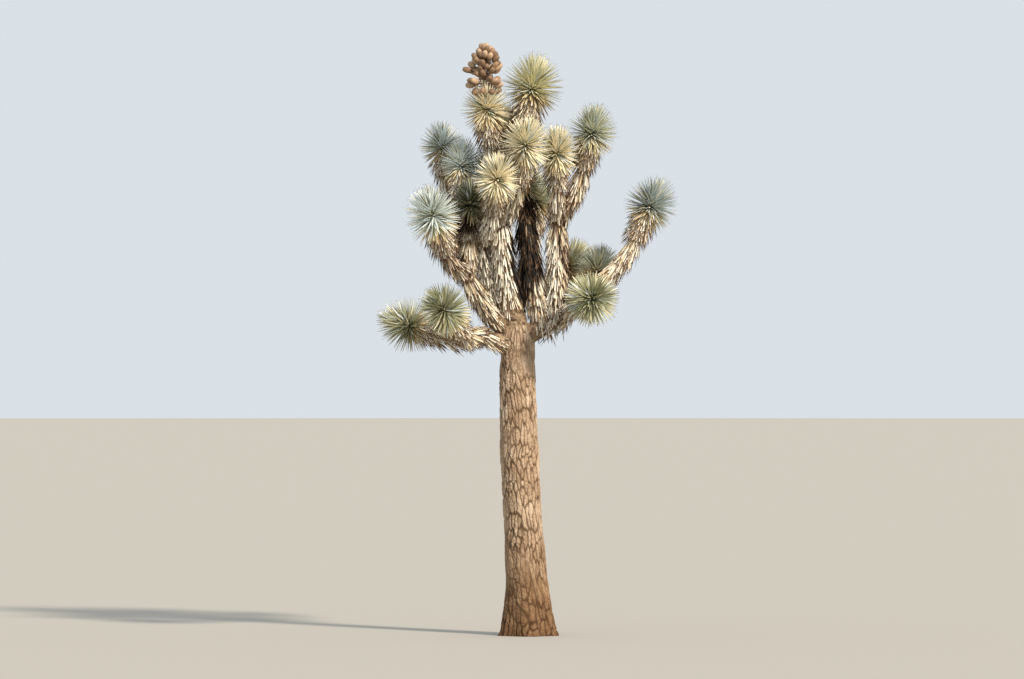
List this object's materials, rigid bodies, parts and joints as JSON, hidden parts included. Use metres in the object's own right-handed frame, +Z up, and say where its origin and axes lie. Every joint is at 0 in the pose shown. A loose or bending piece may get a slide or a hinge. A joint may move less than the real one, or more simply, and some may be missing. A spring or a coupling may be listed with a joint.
{
  "type": "joshua tree",
  "caption": "Rooted desert tree: a leaning corky trunk with a root flare, forking boughs in dead thatch, heads of dagger leaves and a dried fruit cluster.",
  "frame": {"origin": "middle of the flat cut under the trunk, at ground level", "axes": "+Z up the tree, +X right and +Y away as seen from the front"},
  "size_m": [2.2573, 1.837, 4.3998],
  "materials": {
    "bark": "corky grey-brown furrowed bark",
    "thatch": "boughs under dry tan dead leaves",
    "leaves": "stiff grey-green dagger leaves",
    "dead_leaves": "hanging dry leaves, tan to grey",
    "fruit": "dried brown oval fruits"
  },
  "bodies": {
    "root": {"trunk": "bark", "bough_left": "thatch", "bough_leader": "thatch", "bough_right": "thatch", "bough_low_left": "thatch", "bough_middle_left": "thatch", "bough_back": "thatch", "bough_middle_right": "thatch", "bough_left_high": "thatch", "bough_left_outer": "thatch", "bough_left_inner": "thatch", "bough_left_middle": "thatch", "bough_left_upper": "thatch", "bough_top_left": "thatch", "bough_top_right": "thatch", "bough_middle_front": "thatch", "bough_middle_low": "thatch", "bough_middle_back": "thatch", "bough_middle_inner": "thatch", "bough_middle_high": "thatch", "bough_right_upper": "thatch", "bough_right_inner": "thatch", "bough_right_outer": "thatch", "bough_right_back": "thatch", "bough_right_front": "thatch", "bough_low_left_outer": "thatch", "bough_low_left_front": "thatch", "bough_back_left": "thatch", "bough_back_upper": "thatch", "bough_back_right": "thatch", "head_left_outer": "leaves", "head_left_inner": "leaves", "head_left_middle": "leaves", "head_left_upper": "leaves", "head_top_left": "leaves", "head_top_right": "leaves", "head_middle_front": "leaves", "head_middle_low": "leaves", "head_middle_back": "leaves", "head_middle_inner": "leaves", "head_middle_high": "leaves", "head_right_upper": "leaves", "head_right_inner": "leaves", "head_right_outer": "leaves", "head_right_back": "leaves", "head_right_front": "leaves", "head_low_left_outer": "leaves", "head_low_left_front": "leaves", "head_back_left": "leaves", "head_back_upper": "leaves", "head_back_right": "leaves"}
  },
  "joints": []
}
